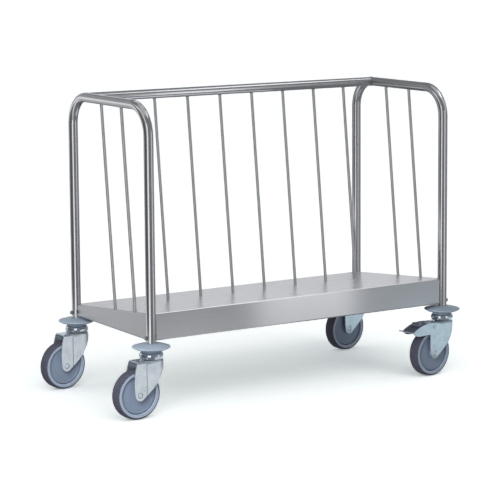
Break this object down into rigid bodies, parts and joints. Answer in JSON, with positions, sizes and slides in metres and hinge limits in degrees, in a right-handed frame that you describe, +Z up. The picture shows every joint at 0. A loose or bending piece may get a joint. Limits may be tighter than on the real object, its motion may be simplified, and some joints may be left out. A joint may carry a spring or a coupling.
{
  "type": "plate transport trolley",
  "caption": "Stainless plate trolley: a wedge-shaped deck sloping to the back between bent-tube ends, with leaning bars at back and sides, on swivel casters with bumper discs and foot brakes.",
  "frame": {"origin": "on the floor, midway between the four caster swivel axes", "axes": "+X along the trolley towards the braked casters, +Y towards the back bars, +Z up"},
  "size_m": [1.0565, 0.501, 0.785],
  "materials": {
    "stainless_tube": "satin-polished stainless steel",
    "stainless_bar": "satin-polished stainless steel",
    "stainless_sheet": "brushed stainless sheet",
    "stainless_fastener": "plain stainless steel",
    "zinc_plated_steel": "bright zinc plating",
    "bright_plated_steel": "bright plating",
    "bearing_steel": "ground steel",
    "bumper_plastic": "smooth grey-blue plastic",
    "rim_plastic": "moulded grey-blue plastic",
    "guard_plastic": "moulded grey-blue plastic",
    "grey_rubber": "matt non-marking rubber",
    "brake_rubber": "matt black rubber"
  },
  "bodies": {
    "frame": {"left_end_frame": "stainless_tube", "left_side_bar_rear": "stainless_bar", "left_side_bar_front": "stainless_bar", "right_end_frame": "stainless_tube", "right_side_bar_rear": "stainless_bar", "right_side_bar_front": "stainless_bar", "back_rail": "stainless_tube", "back_bar_1": "stainless_bar", "back_bar_2": "stainless_bar", "back_bar_3": "stainless_bar", "back_bar_4": "stainless_bar", "back_bar_5": "stainless_bar", "back_bar_6": "stainless_bar", "back_bar_7": "stainless_bar", "back_bar_8": "stainless_bar", "front_deck_channel": "stainless_sheet", "rear_deck_channel": "stainless_sheet", "caster_stems": "zinc_plated_steel", "stem_screws": "stainless_fastener", "swivel_balls": "bearing_steel", "front_left_bumper": "bumper_plastic", "front_left_swivel_head": "bright_plated_steel", "front_right_bumper": "bumper_plastic", "front_right_swivel_head": "bright_plated_steel", "rear_left_bumper": "bumper_plastic", "rear_left_swivel_head": "bright_plated_steel", "rear_right_bumper": "bumper_plastic", "rear_right_swivel_head": "bright_plated_steel", "deck": "stainless_sheet"},
    "front_left_swivel": {"front_left_fork": "zinc_plated_steel", "front_left_axle": "zinc_plated_steel", "front_left_thread_guards": "guard_plastic"},
    "front_left_wheel": {"front_left_tyre": "grey_rubber", "front_left_rim": "rim_plastic", "front_left_bearings": "bearing_steel"},
    "front_right_swivel": {"front_right_fork": "zinc_plated_steel", "front_right_axle": "zinc_plated_steel", "front_right_thread_guards": "guard_plastic", "front_right_pedal_pin": "zinc_plated_steel"},
    "front_right_wheel": {"front_right_tyre": "grey_rubber", "front_right_rim": "rim_plastic", "front_right_bearings": "bearing_steel"},
    "front_right_pedal": {"front_right_brake_pedal": "zinc_plated_steel", "front_right_brake_shoe": "brake_rubber"},
    "rear_left_swivel": {"rear_left_fork": "zinc_plated_steel", "rear_left_axle": "zinc_plated_steel", "rear_left_thread_guards": "guard_plastic"},
    "rear_left_wheel": {"rear_left_tyre": "grey_rubber", "rear_left_rim": "rim_plastic", "rear_left_bearings": "bearing_steel"},
    "rear_right_swivel": {"rear_right_fork": "zinc_plated_steel", "rear_right_axle": "zinc_plated_steel", "rear_right_thread_guards": "guard_plastic", "rear_right_pedal_pin": "zinc_plated_steel"},
    "rear_right_wheel": {"rear_right_tyre": "grey_rubber", "rear_right_rim": "rim_plastic", "rear_right_bearings": "bearing_steel"},
    "rear_right_pedal": {"rear_right_brake_pedal": "zinc_plated_steel", "rear_right_brake_shoe": "brake_rubber"}
  },
  "joints": [
    {"name": "front_left_swivel_turn", "type": "hinge", "parent": "frame", "child": "front_left_swivel", "pos_m": [-0.45, -0.2025, 0.1475], "axis": [0, 0, 1], "continuous": true},
    {"name": "front_left_wheel_roll", "type": "hinge", "parent": "front_left_swivel", "child": "front_left_wheel", "pos_m": [-0.49594, -0.20491, 0.0625], "axis": [-0.0523, 0.9986, 0], "continuous": true},
    {"name": "front_right_swivel_turn", "type": "hinge", "parent": "frame", "child": "front_right_swivel", "pos_m": [0.45, -0.2025, 0.1475], "axis": [0, 0, 1], "continuous": true},
    {"name": "front_right_wheel_roll", "type": "hinge", "parent": "front_right_swivel", "child": "front_right_wheel", "pos_m": [0.40434, -0.20811, 0.0625], "axis": [-0.1219, 0.9925, 0], "continuous": true},
    {"name": "front_right_pedal_press", "type": "hinge", "parent": "front_right_swivel", "child": "front_right_pedal", "pos_m": [0.40236, -0.20835, 0.134], "axis": [0.1219, -0.9925, 0], "range_deg": [0, 7]},
    {"name": "rear_left_swivel_turn", "type": "hinge", "parent": "frame", "child": "rear_left_swivel", "pos_m": [-0.45, 0.2025, 0.1475], "axis": [0, 0, 1], "continuous": true},
    {"name": "rear_left_wheel_roll", "type": "hinge", "parent": "rear_left_swivel", "child": "rear_left_wheel", "pos_m": [-0.49575, 0.19769, 0.0625], "axis": [-0.1045, 0.9945, 0], "continuous": true},
    {"name": "rear_right_swivel_turn", "type": "hinge", "parent": "frame", "child": "rear_right_swivel", "pos_m": [0.45, 0.2025, 0.1475], "axis": [0, 0, 1], "continuous": true},
    {"name": "rear_right_wheel_roll", "type": "hinge", "parent": "rear_right_swivel", "child": "rear_right_wheel", "pos_m": [0.40439, 0.1965, 0.0625], "axis": [-0.1305, 0.9914, 0], "continuous": true},
    {"name": "rear_right_pedal_press", "type": "hinge", "parent": "rear_right_swivel", "child": "rear_right_pedal", "pos_m": [0.40241, 0.19623, 0.134], "axis": [0.1305, -0.9914, 0], "range_deg": [0, 7]}
  ]
}
